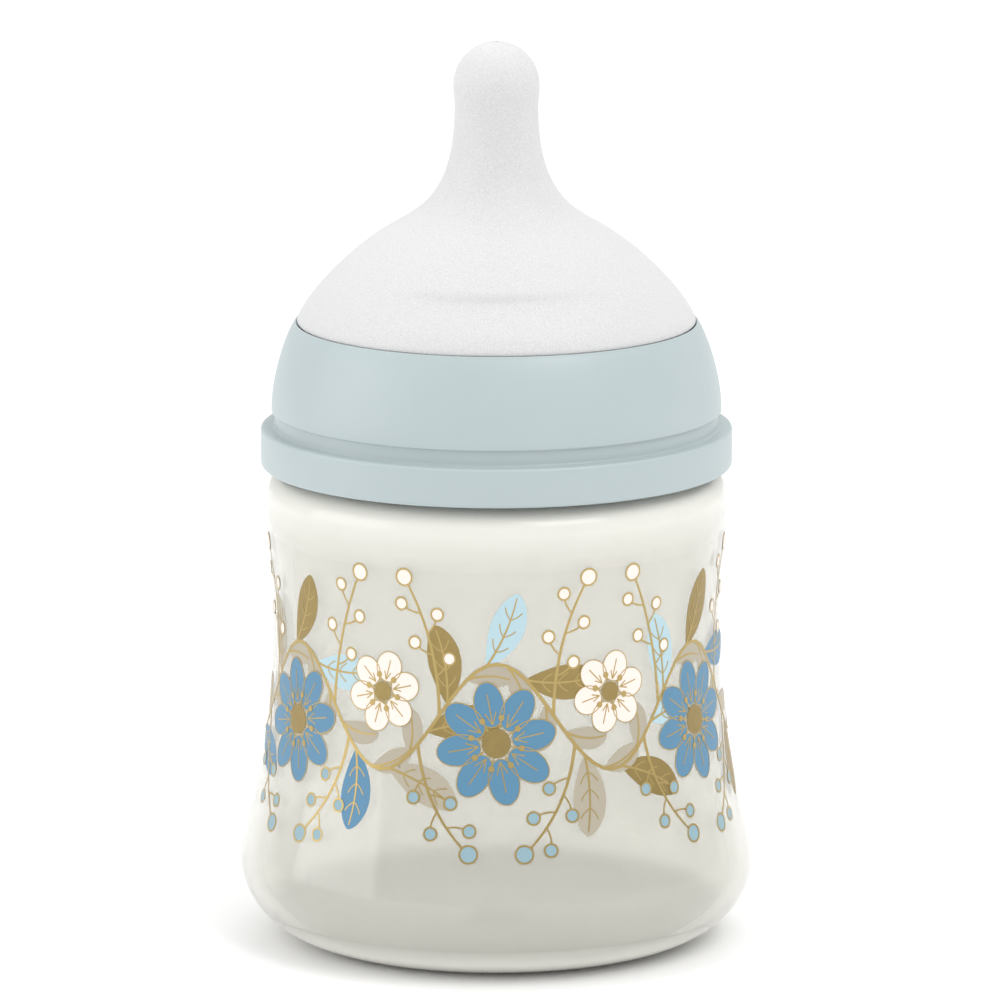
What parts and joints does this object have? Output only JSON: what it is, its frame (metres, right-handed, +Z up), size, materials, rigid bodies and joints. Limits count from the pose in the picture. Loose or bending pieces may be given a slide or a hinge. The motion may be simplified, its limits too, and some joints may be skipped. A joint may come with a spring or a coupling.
{
  "type": "baby bottle",
  "caption": "Wide-neck baby bottle with a waisted translucent body on a round foot, a domed screw ring with a cap groove, and a broad soft teat that narrows to a rounded nipple.",
  "frame": {"origin": "centre of the foot, on the plane the bottle stands on", "axes": "+Z up along the centre line, towards the teat's tip; -Y is the printed front"},
  "size_m": [0.07, 0.07, 0.1234],
  "materials": {
    "bottle_body": "clear polypropylene with a faint milky haze, polished, with a printed botanical pattern",
    "screw_ring": "pale blue-green polypropylene, satin moulded",
    "teat": "translucent silicone, fine matt texture"
  },
  "bodies": {
    "bottle": {"bottle_body": "bottle_body"},
    "teat": {"teat": "teat"},
    "ring": {"screw_ring": "screw_ring"}
  },
  "joints": [
    {"name": "ring_lift", "type": "slide", "parent": "bottle", "child": "teat", "axis": [0, 0, 1], "range_m": [0, 0.016]},
    {"name": "ring_turn", "type": "hinge", "parent": "teat", "child": "ring", "pos_m": [0, 0, 0.0754], "axis": [0, 0, 1], "range_deg": [0, 720]}
  ],
  "couplings": [
    {"joint": "ring_lift", "follows": "ring_turn", "m_per_rad": 0.0012732}
  ]
}
